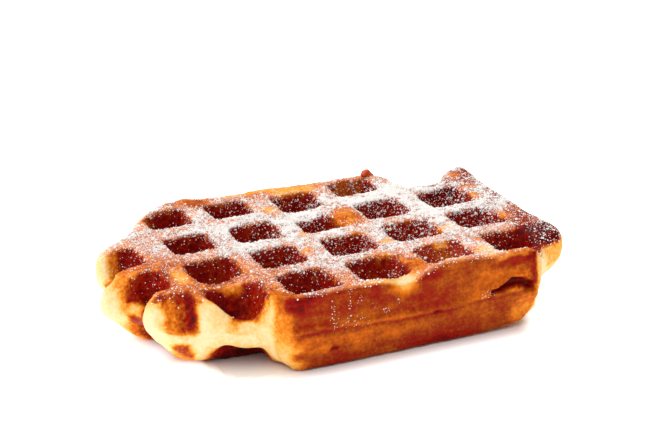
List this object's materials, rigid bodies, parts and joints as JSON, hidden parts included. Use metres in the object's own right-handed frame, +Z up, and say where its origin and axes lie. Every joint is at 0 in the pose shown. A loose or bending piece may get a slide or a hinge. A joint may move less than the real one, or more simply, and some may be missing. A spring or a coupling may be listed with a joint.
{
  "type": "liege waffle",
  "caption": "Whole thick Liege waffle of yeast dough with deep square pockets on both faces, two straight mould edges and free rounded lobes on the others.",
  "frame": {"origin": "centre of the bounding box at its bottom, the plane of the underside's ridges", "axes": "+X along the straight front side, +Y from the straight front side towards the back, +Z up through the pockets"},
  "size_m": [0.16, 0.1106, 0.027],
  "materials": {
    "baked_crust": "satin",
    "icing_sugar": "matte",
    "caramel": "gloss"
  },
  "bodies": {
    "root": {"waffle": "baked_crust"}
  },
  "joints": []
}
